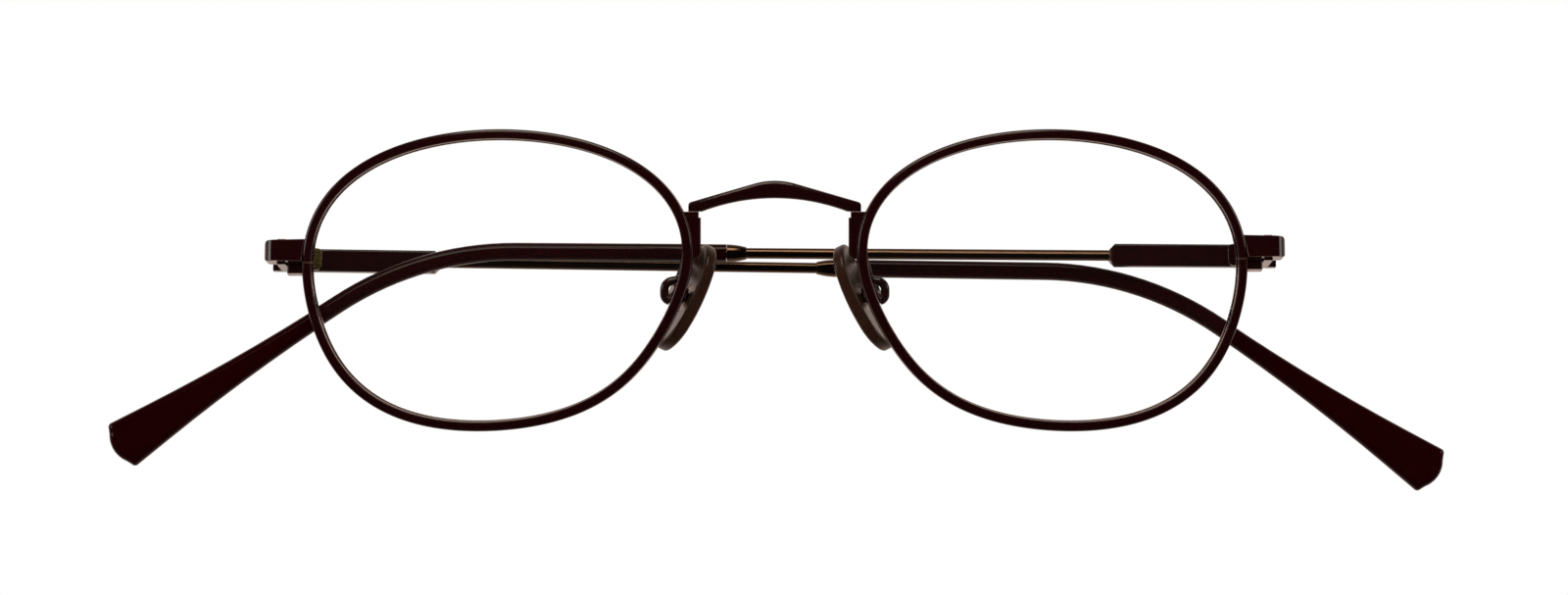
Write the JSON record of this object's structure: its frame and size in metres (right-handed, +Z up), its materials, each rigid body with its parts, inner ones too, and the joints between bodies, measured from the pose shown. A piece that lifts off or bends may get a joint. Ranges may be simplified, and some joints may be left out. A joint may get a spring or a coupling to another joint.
{
  "type": "oval eyeglasses",
  "caption": "Oval wire-rimmed eyeglasses with clear lenses, arched bridge, nose pads on gooseneck arms and folding temples with curved tips.",
  "frame": {"origin": "middle of the underside of the bridge arch, where the front crosses the nose", "axes": "+X towards the wearer's left, +Y from the front towards the wearer's face, +Z up along the hinge axes"},
  "size_m": [0.1618, 0.0177, 0.0419],
  "materials": {
    "frame_metal": "gloss dark brown-black enamel",
    "screw": "turned and slotted",
    "lens": "clear, polished, uncoated",
    "nose_pad": "translucent smoky brown",
    "pad_core": "satin plate",
    "tip": "polished dark brown acetate"
  },
  "bodies": {
    "front": {"bridge": "frame_metal", "rim_left": "frame_metal", "lens_left": "lens", "pad_arm_left": "frame_metal", "pad_screw_left": "screw", "endpiece_left": "frame_metal", "rim_lock_upper_left": "frame_metal", "rim_lock_lower_left": "frame_metal", "rim_lock_screw_left": "screw", "hinge_front_leaf_left": "frame_metal", "hinge_screw_left": "screw", "rim_right": "frame_metal", "lens_right": "lens", "pad_arm_right": "frame_metal", "pad_screw_right": "screw", "endpiece_right": "frame_metal", "rim_lock_upper_right": "frame_metal", "rim_lock_lower_right": "frame_metal", "rim_lock_screw_right": "screw", "hinge_front_leaf_right": "frame_metal", "hinge_screw_right": "screw"},
    "temple_left": {"temple_left": "frame_metal", "hinge_temple_leaf_left": "frame_metal", "tip_collar_left": "frame_metal", "temple_tip_left": "tip"},
    "temple_right": {"temple_right": "frame_metal", "hinge_temple_leaf_right": "frame_metal", "tip_collar_right": "frame_metal", "temple_tip_right": "tip"},
    "pad_left": {"nose_pad_left": "nose_pad", "pad_core_left": "pad_core"},
    "pad_right": {"nose_pad_right": "nose_pad", "pad_core_right": "pad_core"}
  },
  "joints": [
    {"name": "temple_hinge_left", "type": "hinge", "parent": "front", "child": "temple_left", "pos_m": [0.05855, 0.00949, -0.00506], "axis": [0, 0, -1], "range_deg": [0, 91]},
    {"name": "temple_hinge_right", "type": "hinge", "parent": "front", "child": "temple_right", "pos_m": [-0.05855, 0.00957, -0.00554], "axis": [0, 0, 1], "range_deg": [0, 88.6]},
    {"name": "pad_rock_left", "type": "hinge", "parent": "front", "child": "pad_left", "pos_m": [0.01154, 0.00621, -0.01057], "axis": [0.2588, 0.954, 0.1511], "range_deg": [-8, 8]},
    {"name": "pad_rock_right", "type": "hinge", "parent": "front", "child": "pad_right", "pos_m": [-0.01154, 0.00621, -0.01057], "axis": [-0.2588, 0.954, 0.1511], "range_deg": [-8, 8]}
  ]
}
